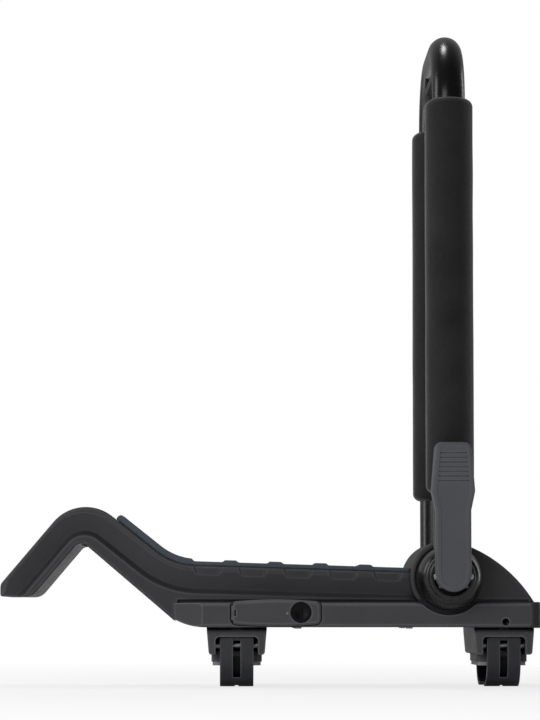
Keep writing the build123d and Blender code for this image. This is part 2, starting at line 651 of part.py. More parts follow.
def hinge_tower():
    outline = tower_outline()
    tower = side_solid(outline, TOWER_HALF_WIDTH)
    tower = fillet(tower.edges().filter_by(GeomType.CIRCLE), TOWER_EDGE)
    inner = offset(outline, amount=-TOWER_WALL, kind=Kind.INTERSECTION)
    opened = inner + Pos(0, -2 * TOWER_WALL) * inner
    tower -= side_solid(opened, TOWER_HALF_WIDTH - TOWER_WALL) & block(
        (-REACH, REACH), (-REACH, REACH), (RAIL_TOP, REACH))
    near = (-TOWER_HALF_WIDTH, BOSS_LENGTH - TOWER_HALF_WIDTH)
    boss = rod_y(HINGE_X, HINGE_Z, near, BOSS_RADIUS)
    bore = rod_y(HINGE_X, HINGE_Z, near, BUSHING_RADIUS + SEAT_FIT)
    recess = WASHER_THICKNESS - WASHER_PROUD
    seat = rod_y(HINGE_X, HINGE_Z, (-TOWER_HALF_WIDTH, recess - TOWER_HALF_WIDTH), WASHER_RADIUS + SEAT_FIT)
    tower = tower + boss + far_side(boss)
    face = (-TOWER_HALF_WIDTH, RING_DEPTH - TOWER_HALF_WIDTH)
    ring = rod_y(HINGE_X, HINGE_Z, face, RING_OUTER) - rod_y(HINGE_X, HINGE_Z, face, RING_INNER)
    gap = shadow_gap((0, RAIL_RIGHT - GAP_MARGIN), TOWER_HALF_WIDTH, TOWER_GAP_DEPTH)
    for cut in (bore, seat, ring, gap):
        tower = tower - cut - far_side(cut)
    over_cap = (0, RAIL_TOP + CAP_PROUD + SEAT_FIT)
    return tower - block((RAIL_RIGHT - SEAT_FIT, REACH), (-REACH, REACH), over_cap)


def bolt_bushing():
    recess = WASHER_THICKNESS - WASHER_PROUD
    y = (recess - TOWER_HALF_WIDTH, BOSS_LENGTH - TOWER_HALF_WIDTH)
    sleeve = rod_y(HINGE_X, HINGE_Z, y, BUSHING_RADIUS)
    return sleeve - rod_y(HINGE_X, HINGE_Z, y, BOLT_RADIUS + RUNNING_FIT)


def friction_washer():
    y = (-TOWER_HALF_WIDTH - WASHER_PROUD, WASHER_THICKNESS - WASHER_PROUD - TOWER_HALF_WIDTH)
    disc = rod_y(HINGE_X, HINGE_Z, y, WASHER_RADIUS)
    return disc - rod_y(HINGE_X, HINGE_Z, y, BOLT_RADIUS + RUN_GAP)


def tube_path():
    """Centreline of the U: up one leg, over the top and down the other."""
    foot = HINGE_Z + SOCKET_FLOOR + SEAT_FIT
    corners = [(-LEG_Y, foot), (-LEG_Y, ARM_TOP_Z), (LEG_Y, ARM_TOP_Z), (LEG_Y, foot)]
    return Pos(HINGE_X, 0, 0) * (Plane.YZ * FilletPolyline(*corners, radius=BEND_RADIUS))


def swept_tube(radius):
    path = tube_path()
    section = Plane(origin=path @ 0, z_dir=path % 0) * Circle(radius)
    return sweep(section, path=path)


def arm_tube():
    return swept_tube(TUBE_RADIUS) - swept_tube(TUBE_RADIUS - TUBE_WALL)


def foam():
    z = (HINGE_Z + FOAM_START, HINGE_Z + FOAM_START + FOAM_LENGTH)
    sleeve = rod_z(HINGE_X, -LEG_Y, z, FOAM_DIAMETER / 2)
    sleeve = fillet(sleeve.edges().filter_by(GeomType.CIRCLE), FOAM_ROUND)
    return sleeve - rod_z(HINGE_X, -LEG_Y, z, TUBE_RADIUS + SEAT_FIT)


def hub_shell():
    """The near hub: a dome with a rim, its cup, its bolt bore and the socket for the leg."""
    base, tip = HUB_BASE_Y, HUB_TIP_Y
    neck = HUB_TIP_RADIUS + HUB_LEDGE
    spring = base + HUB_SKIRT
    ledge = spring + HUB_DOME
    dome = EllipticalCenterArc((neck, spring), HUB_BASE_RADIUS - neck, HUB_DOME, arc_size=QUARTER_TURN)
    lower = Polyline((neck, ledge), (HUB_TIP_RADIUS, ledge), (HUB_TIP_RADIUS, tip), (0, tip), (0, base),
                     (HUB_BASE_RADIUS, base), (HUB_BASE_RADIUS, spring))
    profile = Rot(180, 0, 0) * make_face([dome, *lower.edges()])
    hub = revolve(profile, axis=Axis.Y)
    rims = hub.edges().filter_by(GeomType.CIRCLE).sort_by(Axis.Y)
    hub = fillet([rims[0], rims[-1]], HUB_ROUND)
    hub = Pos(HINGE_X, 0, HINGE_Z) * hub
    hub -= rod_y(HINGE_X, HINGE_Z, (-tip, -base), BOLT_RADIUS + RUNNING_FIT)
    hub -= rod_y(HINGE_X, HINGE_Z, (-tip, -CUP_FLOOR_Y), CUP_RADIUS)
    foot = HINGE_Z + SOCKET_FLOOR
    return hub - rod_z(HINGE_X, -LEG_Y, (foot, foot + HUB_BASE_RADIUS), TUBE_RADIUS + SEAT_FIT)


def arm_hub_far():
    hub = far_side(hub_shell())
    pocket = (HUB_TIP_Y - NUT_POCKET_DEPTH, HUB_TIP_Y)
    return hub - rod_y(HINGE_X, HINGE_Z, pocket, NUT_POCKET_RADIUS)


def cam_washer():
    y = (-CAM_FACE_Y, -CUP_FLOOR_Y)
    disc = rod_y(HINGE_X, HINGE_Z, y, CUP_RADIUS - RUN_GAP)
    return disc - rod_y(HINGE_X, HINGE_Z, y, BOLT_RADIUS + RUN_GAP)


def hub_cap():
    y = (HUB_TIP_Y - RUN_GAP, HUB_TIP_Y + HUB_CAP_THICKNESS)
    disc = rod_y(HINGE_X, HINGE_Z, y, CUP_RADIUS - SEAT_FIT)
    cap = fillet(disc.faces().sort_by(Axis.Y)[-1].edges(), HUB_CAP_THICKNESS / 2)
    skirt = rod_y(HINGE_X, HINGE_Z, (CUP_FLOOR_Y, y[0]), CUP_RADIUS - SEAT_FIT)
    return cap + skirt - rod_y(HINGE_X, HINGE_Z, (CUP_FLOOR_Y, y[0]), CUP_RADIUS - HUB_CAP_WALL)


def hinge_bolt():
    nut_floor = HUB_TIP_Y - NUT_POCKET_DEPTH
    far_end = nut_floor + RUN_GAP + NUT_THICKNESS
    bolt = rod_y(HINGE_X, HINGE_Z, (-PIVOT_Y, far_end), BOLT_RADIUS)
    bolt += rod_x((HINGE_X - TONGUE_HALF, HINGE_X + TONGUE_HALF), -PIVOT_Y, HINGE_Z, BOLT_RADIUS)
    pin = CAM_PIN_RADIUS + RUNNING_FIT
    return bolt - rod_x((HINGE_X - REACH, HINGE_X + REACH), -PIVOT_Y, HINGE_Z, pin)


def hinge_nut():
    floor = HUB_TIP_Y - NUT_POCKET_DEPTH + RUN_GAP
    hexagon = RegularPolygon(NUT_ACROSS_FLATS / 2, 6, major_radius=False)
    nut = extrude(Plane.XZ * (Pos(HINGE_X, HINGE_Z) * hexagon), amount=-NUT_THICKNESS)
    nut = Pos(0, floor, 0) * nut
    return nut - rod_y(HINGE_X, HINGE_Z, (floor, floor + NUT_THICKNESS), BOLT_RADIUS + RUNNING_FIT)


def strap_guide():
    top = ARM_TOP_Z - TUBE_RADIUS - GUIDE_SLOT
    half = GUIDE_WIDTH / 2
    x = (HINGE_X - half, HINGE_X + half)
    bar = block(x, (-GUIDE_HALF_LENGTH, GUIDE_HALF_LENGTH), (top - GUIDE_THICKNESS, top))
    bar = fillet(bar.edges().filter_by(Axis.Z), GUIDE_POST / 2)
    post_y = (-GUIDE_HALF_LENGTH, GUIDE_POST - GUIDE_HALF_LENGTH)
    post = block(x, post_y, (top - GUIDE_THICKNESS / 2, ARM_TOP_Z - TUBE_RADIUS / 2))
    guide = bar + post + far_side(post)
    guide -= swept_tube(TUBE_RADIUS + SEAT_FIT)
    y = GUIDE_HALF_LENGTH - GUIDE_POST / 2
    for place in (-y, y):
        guide -= rod_z(HINGE_X, place, (top - GUIDE_THICKNESS, ARM_TOP_Z), GUIDE_SCREW_RADIUS)
    return guide


def guide_screws():
    low = ARM_TOP_Z - TUBE_RADIUS - GUIDE_SLOT - GUIDE_THICKNESS
    group = []
    y = GUIDE_HALF_LENGTH - GUIDE_POST / 2
    for place in (-y, y):
        screw = rod_z(HINGE_X, place, (low, low + GUIDE_THICKNESS + GUIDE_SLOT / 2), GUIDE_SCREW_RADIUS)
        head = rod_z(HINGE_X, place, (low - SCREW_HEAD_HEIGHT, low), GUIDE_SCREW_HEAD)
        group.append(screw + head)
    return Compound(children=group)


def lever_outline():
    """Front view of the lever: a round foot, straight sides and a wider head."""
    foot_center = LEVER_HALF_WIDTH - LEVER_FOOT
    half, head, top = LEVER_HALF_WIDTH, LEVER_HEAD_HALF, LEVER_TOP_HALF
    foot = ThreePointArc((-half, foot_center), (0, -LEVER_FOOT), (half, foot_center))
    sides = FilletPolyline(
        (half, foot_center), (half, LEVER_FLARE_START), (head, LEVER_FLARE_END), (top, LEVER_TOP),
        (-top, LEVER_TOP), (-head, LEVER_FLARE_END), (-half, LEVER_FLARE_START), (-half, foot_center),
        radius=LEVER_CORNER)
    return make_face([foot, *sides.edges()])


def lever():
    outline = Plane.XZ * (Pos(HINGE_X, HINGE_Z) * lever_outline())
    plate = Pos(0, -LEVER_BACK_Y, 0) * extrude(outline, amount=LEVER_SKIRT)
    crown = extrude(outline, amount=LEVER_THICKNESS - LEVER_SKIRT, taper=LEVER_DRAFT)
    crown = fillet(crown.faces().sort_by(Axis.Y)[0].edges(), LEVER_EDGE)
    plate += Pos(0, -LEVER_BACK_Y - LEVER_SKIRT, 0) * crown
    plate -= grip_panel()
    # The foot's inner side is round about the pivot, so that it clears the hub as it swings
    clear = PIVOT_Y - CAM_FACE_Y - CAM_SLIDE - RUN_GAP
    low = (HINGE_Z - REACH, HINGE_Z)
    corner = block((HINGE_X - REACH, HINGE_X + REACH), (-PIVOT_Y - LEVER_LIP, 0), low)
    plate -= corner - rod_x((HINGE_X - REACH, HINGE_X + REACH), -PIVOT_Y, HINGE_Z, clear)
    # Two eccentric cheeks press on the washer when the lever is shut
    throw = CAM_SLIDE
    lead = math.radians(90 - LEVER_OPEN / 2)
    radius = PIVOT_Y - CAM_FACE_Y - RUN_GAP - throw * math.cos(lead)
    cam_y = -PIVOT_Y + throw * math.cos(lead)
    cam_z = HINGE_Z + throw * math.sin(lead)
    for side in (-1, 1):
        x = sorted((HINGE_X + side * CAM_INNER, HINGE_X + side * CAM_OUTER))
        plate += rod_x(x, cam_y, cam_z, radius) & block(x, (-PIVOT_Y - LEVER_LIP, 0), (0, REACH))
    pin = CAM_PIN_RADIUS + SEAT_FIT
    plate -= rod_x((HINGE_X - REACH, HINGE_X + REACH), -PIVOT_Y, HINGE_Z, pin)
    return plate - tongue_slot()


def grip_panel():
    """The sunk panel on the lever's front, with grip grooves across its head."""
    sketch = Plane.XZ * (Pos(HINGE_X, HINGE_Z) * offset(lever_outline(), amount=-PANEL_RIM))
    sketch = Pos(0, -LEVER_FRONT_Y, 0) * sketch
    panel = extrude(sketch, amount=-PANEL_DEPTH)
    deep = extrude(sketch, amount=-PANEL_DEPTH - GRIP_DEPTH)
    half = GRIP_WIDTH / 2
    for index in range(GRIP_COUNT):
        z = HINGE_Z + GRIP_FIRST + index * GRIP_PITCH
        panel += deep & block((0, REACH), (-REACH, 0), (z - half, z + half))
    return panel


def tongue_slot():
    """Room in the lever for the bolt's flat end, from shut to open."""
    gap = BOLT_RADIUS + TONGUE_GAP
    turn = math.radians(LEVER_OPEN)
    back = (-math.sin(turn) * gap, -math.cos(turn) * gap)
    far = (back[0] + math.cos(turn) * REACH, back[1] - math.sin(turn) * REACH)
    corners = [(0, gap), (REACH, gap), (REACH, far[1]), far, back]
    sketch = make_face(Polyline(*corners, close=True)) + Circle(gap)
    slot = end_solid(Pos(-PIVOT_Y, HINGE_Z) * sketch, CAM_INNER)
    return Pos(HINGE_X, 0, 0) * slot


def cam_pin():
    half = LEVER_HALF_WIDTH + CAM_PIN_PROUD
    pin = rod_x((HINGE_X - half, HINGE_X + half), -PIVOT_Y, HINGE_Z, CAM_PIN_RADIUS)
    return fillet(pin.edges().filter_by(GeomType.CIRCLE), CAM_PIN_PROUD)


def lock_cover():
    cover = slab(cover_outline(0), (COVER_BACK_Y, COVER_FRONT_Y))
    front = cover.faces().sort_by(Axis.Y)[0]
    cover = chamfer(front.edges(), COVER_BEVEL)
    barrel_z = (COVER_MID_Z - COVER_PIN_HALF, COVER_MID_Z + COVER_PIN_HALF)
    barrel = rod_z(COVER_PIN_X, -COVER_PIN_Y, barrel_z, COVER_THICKNESS / 2)
    edge = block((COVER_LEFT, COVER_PIN_X), (-REACH, 0), (-REACH, REACH))
    cover = cover - edge + barrel
    notch = LUG_RADIUS + RUN_GAP
    notch_z = (COVER_MID_Z - LUG_HALF - RUN_GAP, COVER_MID_Z + LUG_HALF + RUN_GAP)
    cover -= block((COVER_LEFT - notch, COVER_PIN_X + notch), (-REACH, 0), notch_z)
    cover -= rod_z(COVER_PIN_X, -COVER_PIN_Y, barrel_z, COVER_PIN_RADIUS)
    face_floor = COVER_FRONT_Y + LOCK_FACE_PROUD - LOCK_FACE_DEPTH - RUN_GAP
    cover -= rod_y(LOCK_X, LOCK_Z, (-COVER_FRONT_Y, -face_floor), LOCK_FACE_RADIUS + RUN_GAP)
    return cover - rod_y(LOCK_X, LOCK_Z, (-COVER_FRONT_Y, -COVER_BACK_Y), LOCK_HOUSING_RADIUS)


def cover_hinge_pin():
    z = (COVER_MID_Z - COVER_PIN_HALF, COVER_MID_Z + COVER_PIN_HALF)
    return rod_z(COVER_PIN_X, -COVER_PIN_Y, z, COVER_PIN_RADIUS)


def lock_housing():
    front = COVER_FRONT_Y + LOCK_FACE_PROUD - LOCK_FACE_DEPTH - RUN_GAP
    y = (-front, -LOCK_INNER_Y)
    return rod_y(LOCK_X, LOCK_Z, y, LOCK_HOUSING_RADIUS) - rod_y(
        LOCK_X, LOCK_Z, y, LOCK_SHANK_RADIUS + RUNNING_FIT)


def lock_plug():
    front = COVER_FRONT_Y + LOCK_FACE_PROUD
    back = front - LOCK_FACE_DEPTH
    face = rod_y(LOCK_X, LOCK_Z, (-front, -back), LOCK_FACE_RADIUS)
    face = fillet(face.faces().sort_by(Axis.Y)[0].edges(), LOCK_FACE_PROUD)
    shank_end = LOCK_INNER_Y - RUN_GAP - LATCH_THICKNESS
    plug = face + rod_y(LOCK_X, LOCK_Z, (-back, -shank_end), LOCK_SHANK_RADIUS)
    half = LOCK_SLOT_WIDTH / 2
    length = LOCK_SLOT_LENGTH / 2
    return plug - block((LOCK_X - half, LOCK_X + half), (-front, LOCK_SLOT_DEPTH - front),
                        (LOCK_Z - length, LOCK_Z + length))


def lock_latch():
    y = (RUN_GAP - LOCK_INNER_Y, RUN_GAP + LATCH_THICKNESS - LOCK_INNER_Y)
    half = LATCH_WIDTH / 2
    bar = block((LOCK_X - LATCH_LENGTH, LOCK_X), y, (LOCK_Z - half, LOCK_Z + half))
    eye = rod_y(LOCK_X, LOCK_Z, y, LOCK_SHANK_RADIUS + LATCH_EYE_WALL)
    return bar + eye - rod_y(LOCK_X, LOCK_Z, y, LOCK_SHANK_RADIUS)


def foot_housing(x):
    top, low = FOOT_TOP_HALF, FOOT_BOTTOM_HALF
    skirt = make_face(Polyline((-top, RAIL_BOTTOM), (top, RAIL_BOTTOM), (low, FOOT_BOTTOM),
                               (-low, FOOT_BOTTOM), close=True))
    skirt = fillet(skirt.vertices().sort_by(Axis.Y)[:2], FOOT_CORNER)
    housing = side_solid(skirt, FOOT_HALF_LENGTH)
    brows = housing.faces().sort_by(Axis.Z)[-1].edges().filter_by(Axis.X)
    housing = fillet(brows, FOOT_BROW)
    housing += block((-FOOT_NECK_HALF, FOOT_NECK_HALF), (-FOOT_HALF_LENGTH, FOOT_HALF_LENGTH),
                     (RAIL_BOTTOM, ROOF_UNDERSIDE))
    well = (-FOOT_WELL_HALF, FOOT_WELL_HALF)
    housing -= block(well, (-FOOT_WELL_END, FOOT_WELL_END), (WELL_FLOOR_Z, FOOT_WELL_TOP))
    for y in ((-FOOT_HALF_LENGTH, -FOOT_FLOOR_HALF), (FOOT_FLOOR_HALF, FOOT_HALF_LENGTH)):
        window = block(well, y, (FOOT_BOTTOM - FOOT_CORNER, FOOT_WINDOW_TOP))
        lintel = window.faces().sort_by(Axis.Z)[-1].edges().filter_by(Axis.Y)
        housing -= fillet(lintel, FOOT_WINDOW_CORNER)
    half_rib = FOOT_RIB / 2
    housing += block(well, (-half_rib, half_rib), (WELL_FLOOR_Z, FOOT_WELL_TOP))
    ends = (-FOOT_HALF_LENGTH, FOOT_HALF_LENGTH)
    for y in ((ends[0], -FOOT_WELL_END), (FOOT_WELL_END, ends[1])):
        housing -= rod_y(0, SCREW_Z, y, ACCESS_RADIUS)
    housing -= rod_y(0, SCREW_Z, (-half_rib, half_rib), TIE_RADIUS + RUNNING_FIT)
    pin_x = (-JAW_PIN_HALF, JAW_PIN_HALF)
    for y in (-JAW_PIN_Y, JAW_PIN_Y):
        housing -= rod_x(pin_x, y, JAW_PIN_Z, JAW_PIN_RADIUS)
    for y in (-FOOT_SCREW_Y, FOOT_SCREW_Y):
        housing -= rod_z(0, y, (FOOT_WELL_TOP, ROOF_UNDERSIDE), FOOT_SCREW_RADIUS)
    return Pos(x, 0, 0) * housing


def saddle(x):
    box = block((-SADDLE_HALF, SADDLE_HALF), (-FOOT_FLOOR_HALF, FOOT_FLOOR_HALF),
                (SEAT_PAD_THICKNESS, FOOT_BOTTOM))
    return Pos(x, 0, 0) * fillet(box.edges().filter_by(Axis.Z), FOOT_CORNER)


def seat_pad(x):
    length = FOOT_FLOOR_HALF - SEAT_PAD_INSET
    box = block((-SEAT_PAD_HALF, SEAT_PAD_HALF), (-length, length), (0, SEAT_PAD_THICKNESS))
    return Pos(x, 0, 0) * fillet(box.edges().filter_by(Axis.Z), FOOT_CORNER)


def jaw(x):
    """The near jaw: a bent steel strap below its pin, a fork for the nut above it."""
    outer, inner = JAW_OUTER, JAW_OUTER - JAW_THICKNESS
    bend = JAW_BEND_RADIUS
    center = outer - bend
    low = JAW_BEND_Z - bend
    diagonal = math.sqrt(0.5)
    inner_bend = bend - JAW_THICKNESS
    tip = center - JAW_LIP
    strap = make_face([
        Line((outer, JAW_TOP), (outer, JAW_BEND_Z)),
        ThreePointArc((outer, JAW_BEND_Z), (center + diagonal * bend, JAW_BEND_Z - diagonal * bend), (center, low)),
        Line((center, low), (tip, low)),
        Line((tip, low), (tip, low + JAW_THICKNESS)),
        Line((tip, low + JAW_THICKNESS), (center, low + JAW_THICKNESS)),
        ThreePointArc((center, low + JAW_THICKNESS),
                      (center + diagonal * inner_bend, JAW_BEND_Z - diagonal * inner_bend), (inner, JAW_BEND_Z)),
        Line((inner, JAW_BEND_Z), (inner, JAW_TOP)),
        Line((inner, JAW_TOP), (outer, JAW_TOP))])
    body = end_solid(strap, JAW_HALF_WIDTH)
    width = (-JAW_HALF_WIDTH, JAW_HALF_WIDTH)
    body += rod_x(width, JAW_PIN_Y, JAW_PIN_Z, KNUCKLE_RADIUS)
    body -= block((-JAW_SLOT_HALF, JAW_SLOT_HALF), (0, REACH), (JAW_SLOT_BOTTOM, JAW_TOP))
    fork_x = (-FORK_HALF_WIDTH, FORK_HALF_WIDTH)
    fork_y = (JAW_PIN_Y - FORK_HALF_DEPTH, JAW_PIN_Y + FORK_HALF_DEPTH)
    body += block(fork_x, fork_y, (JAW_PIN_Z + JAW_PIN_RADIUS + FORK_FLOOR, FORK_TOP))
    body -= rod_x(width, JAW_PIN_Y, JAW_PIN_Z, JAW_PIN_RADIUS + RUNNING_FIT)
    nut_room = TIE_NUT_RADIUS + RUN_GAP
    body -= rod_x(fork_x, JAW_PIN_Y, SCREW_Z, nut_room)
    body -= block(fork_x, (JAW_PIN_Y - nut_room, JAW_PIN_Y + nut_room), (SCREW_Z, FORK_TOP))
    screw_half = TIE_RADIUS + FORK_SCREW_ROOM
    body -= block((-screw_half, screw_half), fork_y, (SCREW_Z - screw_half, FORK_TOP))
    body -= block((-JAW_NOTCH, JAW_NOTCH), (0, center + JAW_NOTCH_REACH), (low, 0))
    return Pos(x, 0, 0) * far_side(body)


def jaw_pin(x):
    pin = rod_x((-JAW_PIN_HALF, JAW_PIN_HALF), -JAW_PIN_Y, JAW_PIN_Z, JAW_PIN_RADIUS)
    return Pos(x, 0, 0) * pin


def tie_screw(x):
    screw = rod_y(0, SCREW_Z, (-TIE_HALF_LENGTH, TIE_HALF_LENGTH), TIE_RADIUS)
    start = FOOT_RIB / 2 + RUN_GAP
    collar = rod_y(0, SCREW_Z, (-start - TIE_COLLAR_LENGTH, -start), TIE_COLLAR_RADIUS)
    screw = screw + collar + far_side(collar)
    hexagon = RegularPolygon(TIE_SOCKET / 2, 6, major_radius=False)
    socket = extrude(Plane.XZ * (Pos(0, SCREW_Z) * hexagon), amount=TIE_SOCKET_DEPTH)
    socket = Pos(0, TIE_SOCKET_DEPTH - TIE_HALF_LENGTH, 0) * socket
    return Pos(x, 0, 0) * (screw - socket)


def tie_nut(x):
    nut = rod_x((-TIE_NUT_HALF, TIE_NUT_HALF), -JAW_PIN_Y, SCREW_Z, TIE_NUT_RADIUS)
    bore = (-JAW_PIN_Y - TIE_NUT_RADIUS, TIE_NUT_RADIUS - JAW_PIN_Y)
    return Pos(x, 0, 0) * (nut - rod_y(0, SCREW_Z, bore, TIE_RADIUS + RUNNING_FIT))


def all_parts():
    """Every piece by its node's name."""
    parts = {
        "base_rail": base_rail(),
        "rail_end_cap": rail_end_cap(),
        "bottom_plate": bottom_plate(),
        "bottom_screws": bottom_screws(),
        "foot_screws": foot_screws(),
        "cradle_body": cradle_body(),
        "hull_pad": hull_pad(),
        "hinge_tower": hinge_tower(),
        "arm_tube": arm_tube(),
        "strap_guide": strap_guide(),
        "guide_screws": guide_screws(),
        "arm_hub_near": hub_shell(),
        "arm_hub_far": arm_hub_far(),
        "cam_washer": cam_washer(),
        "hub_cap_far": hub_cap(),
        "hinge_bolt": hinge_bolt(),
        "hinge_nut": hinge_nut(),
        "clamp_lever": lever(),
        "cam_pin": cam_pin(),
        "lock_cover": lock_cover(),
        "cover_hinge_pin": cover_hinge_pin(),
        "lock_housing": lock_housing(),
        "lock_plug": lock_plug(),
        "lock_latch": lock_latch(),
    }
    pairs = {"foam": foam(), "bolt_bushing": bolt_bushing(), "friction_washer": friction_washer()}
    for name, piece in pairs.items():
        parts[name + "_near"] = piece
        parts[name + "_far"] = far_side(piece)
    for name, x in (("left", -FOOT_X), ("right", FOOT_X)):
        parts[name + "_foot_housing"] = foot_housing(x)
        parts[name + "_saddle"] = saddle(x)
        parts[name + "_seat_pad"] = seat_pad(x)
        parts[name + "_tie_screw"] = tie_screw(x)
        for piece, shape in (("jaw", jaw(x)), ("jaw_pin", jaw_pin(x)), ("tie_nut", tie_nut(x))):
            parts[f"{name}_{piece}_near"] = shape
            parts[f"{name}_{piece}_far"] = far_side(shape)
    return parts


os.makedirs("parts", exist_ok=True)
for node, piece in all_parts().items():
    export_step(piece, f"parts/{node}.step")
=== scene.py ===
import math
from collections import namedtuple

import bmesh
import bpy
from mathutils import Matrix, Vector, noise


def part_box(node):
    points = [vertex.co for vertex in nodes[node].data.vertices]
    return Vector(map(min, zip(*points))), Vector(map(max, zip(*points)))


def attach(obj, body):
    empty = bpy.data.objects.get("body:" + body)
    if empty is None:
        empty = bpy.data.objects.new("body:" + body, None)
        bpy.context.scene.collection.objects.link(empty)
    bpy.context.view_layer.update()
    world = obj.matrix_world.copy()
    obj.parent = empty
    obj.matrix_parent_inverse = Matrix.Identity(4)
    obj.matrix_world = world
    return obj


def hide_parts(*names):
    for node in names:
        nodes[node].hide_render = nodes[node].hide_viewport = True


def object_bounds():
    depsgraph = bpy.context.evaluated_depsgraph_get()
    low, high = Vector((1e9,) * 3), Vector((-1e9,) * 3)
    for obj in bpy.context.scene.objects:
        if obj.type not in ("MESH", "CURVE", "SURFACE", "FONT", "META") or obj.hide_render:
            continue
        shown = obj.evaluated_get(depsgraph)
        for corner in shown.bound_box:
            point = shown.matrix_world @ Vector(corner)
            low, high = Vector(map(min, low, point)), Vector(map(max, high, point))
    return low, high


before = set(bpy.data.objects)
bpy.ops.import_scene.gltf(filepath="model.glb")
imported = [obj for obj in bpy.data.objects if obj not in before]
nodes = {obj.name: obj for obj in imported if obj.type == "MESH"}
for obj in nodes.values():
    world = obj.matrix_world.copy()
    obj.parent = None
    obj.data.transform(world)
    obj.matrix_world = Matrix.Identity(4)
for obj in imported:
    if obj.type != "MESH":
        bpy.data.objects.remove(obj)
cad_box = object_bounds()

# The photograph's frame in pixels, and how the camera stood
PHOTO_HEIGHT = 720
FOCAL_PIXELS = 2518.7
AXIS_ROW = 493.1
CAMERA_AT = (-0.1361, -2.4991, 0.0479)
CAMERA_TILT = math.radians(2.8)
CAMERA_PAN = math.radians(0.908)
SENSOR_MM = 36

# Room between a lining or sleeve and the steel that it sits on
SEAT_GAP = 0.0002

# Foam sleeves: rounded ends, and shallow dents that differ from sleeve to sleeve
FOAM_ROUND = 0.0075
FOAM_ROUND_STEPS = 7
FOAM_RING_STEP = 0.004
FOAM_SEGMENTS = 112
FOAM_DENT = 0.00035
FOAM_DENT_SIZE = 0.045
FOAM_DENT_SHIFT = 100

# Foam finish: pores, clouds and specks to a metre, and how they mix in colour, bump and roughness
FOAM_PORES = 1500.0
FOAM_CLOUDS = 26.0
FOAM_CLOUD_DETAIL = 5.0
FOAM_SPECKS = 420.0
FOAM_SPECK_SPAN = (0.35, 0.65)
FOAM_CLOUD_SHARE = 0.75
FOAM_SPECK_RISE = 0.5
FOAM_DARK = (22, 22, 22)
FOAM_LIGHT = (34, 34, 34)
FOAM_BUMP_DEPTH = 0.0003
FOAM_BUMP_STRENGTH = 0.35
FOAM_ROUGH = (0.72, 0.88)
FOAM_SHINE = {"Specular IOR Level": 0.2, "Sheen Weight": 0.25, "Sheen Roughness": 0.4}

# The stretch of a noise texture that most of its values fall in, and a whole share
NOISE_SPAN = (0.3, 0.7)
WHOLE = (0.0, 1.0)

# Solid finishes: noise detail, patches to a metre, blotches to a patch, and the grain's share of roughness
PATCH_DETAIL = 4.0
GRAIN_DETAIL = 2.0
PATCHES = 14.0
BLOTCHES = 6
GRAIN_SHARE = 0.6

# Painted shade in gaps and creases: how far it reaches, how open a point is where it begins and ends, and the
# colour left in it
PAINTED_SHADE_REACH = 0.009
PAINTED_SHADE_OPEN = (0.3, 0.64)
PAINTED_SHADE_LEFT = 0.04
PAINTED_SHADE_SAMPLES = 6

# How far the normal turns at the painted highlight line of an outer edge, how open it lies and how the grain
# breaks it
EDGE_TURN = (0.999, 0.98)
EDGE_OPEN = (0.72, 0.92)
EDGE_BREAK = (0.6, 1.0)
EDGE_SAMPLES = 8
ROUND_SAMPLES = 6

# Grain of a finish: cells to a metre, bump depth in metres and bump strength
Grain = namedtuple("Grain", "cells depth strength")
PLASTIC_GRAIN = Grain(1500.0, 0.00012, 0.35)
PLASTIC_SPECULAR = 0.25

# Edge of a finish: rounding in metres, colour and share of its painted highlight line, and the line's reach
# in metres
Edge = namedtuple("Edge", "radius colour share reach")
HIGHLIGHT_EDGE = Edge(0.0011, (92, 92, 95), 0.4, 0.0042)

# Near-black sheet inside each jaw, painted shade in the jaw's bend: the outer radius of the jaw's bend, its
# steel, and the sheet itself
JAW_BEND = 0.0265
JAW_STEEL = 0.0035
SHADE_SHEET_THICKNESS = 0.0014
SHADE_SHEET_MARGIN = 0.0012
SHADE_SHEET_RISE = 0.003
SHADE_SHEET_STEPS = 16

# Lock plug: a dished face with a grip bar across it, and a shank with a pinhole on its axis
LOCK_RIM = 0.0013
LOCK_DISH = 0.0017
LOCK_STEP = LOCK_DISH / 3
LOCK_FACE = 0.003
LOCK_SHANK = 0.0035
LOCK_PINHOLE = 0.01
LOCK_SEGMENTS = 72
LOCK_BAR_WIDTH = 0.0034
LOCK_BAR_LENGTH = 0.0152
LOCK_BAR_EDGE = 0.0005

# Small raised mark on the lock cover, left of the plug
MARK_AT = (-0.0810, 0.0507)
MARK_RADIUS = 0.0011
MARK_TOP = 0.7
MARK_PINHOLE = 0.02
MARK_RISE = 0.00025
MARK_SEGMENTS = 24

# Hull pad
PAD_VOXEL = 0.001
PAD_SMOOTHING = 6

# Nodes with a finish of their own
OWN_FINISH = {
    "base_rail": "rail",
    "lock_cover": "rail",
    "left_foot_housing": "rail",
    "right_foot_housing": "rail",
    "rail_end_cap": "cap",
    "bottom_plate": "cap",
    "strap_guide": "cap",
    "left_saddle": "saddle",
    "right_saddle": "saddle",
    "left_tie_screw": "black_steel",
    "right_tie_screw": "black_steel",
    "cam_washer": "rubber",
}

# Lamps: place, aim, width and height in metres, power in watts, and whether reflections show them
Softbox = namedtuple("Softbox", "name place aim size power mirrored")
MIDDLE = (0.0, 0.0, 0.25)
FEET = (0.0, 0.0, 0.02)
SOFTBOXES = (
    Softbox("key", (-1.1, -1.9, 0.8), MIDDLE, (1.0, 1.0), 18, True),
    Softbox("low_fill", (-0.3, -1.5, 0.16), FEET, (1.6, 0.28), 6, False),
    Softbox("left_strip", (-1.5, 0.25, 0.5), MIDDLE, (0.5, 1.6), 10, True),
    Softbox("right_strip", (1.5, 0.7, 0.6), MIDDLE, (0.4, 1.4), 6, True),
    Softbox("top", (-0.2, 0.25, 1.9), MIDDLE, (0.4, 0.35), 7, True),
    Softbox("back_fill", (-0.5, 2.1, 0.9), MIDDLE, (1.3, 1.0), 13, False),
)

# Studio walls: how bright reflections show them from front to back, and how they light from below to above
WALL_DEPTH = (-0.4, 0.7)
WALL_MIRRORED = (0.05, 0.32)
WALL_HEIGHT = (-0.6, 0.8)
WALL_LIGHT = (0.22, 0.18)

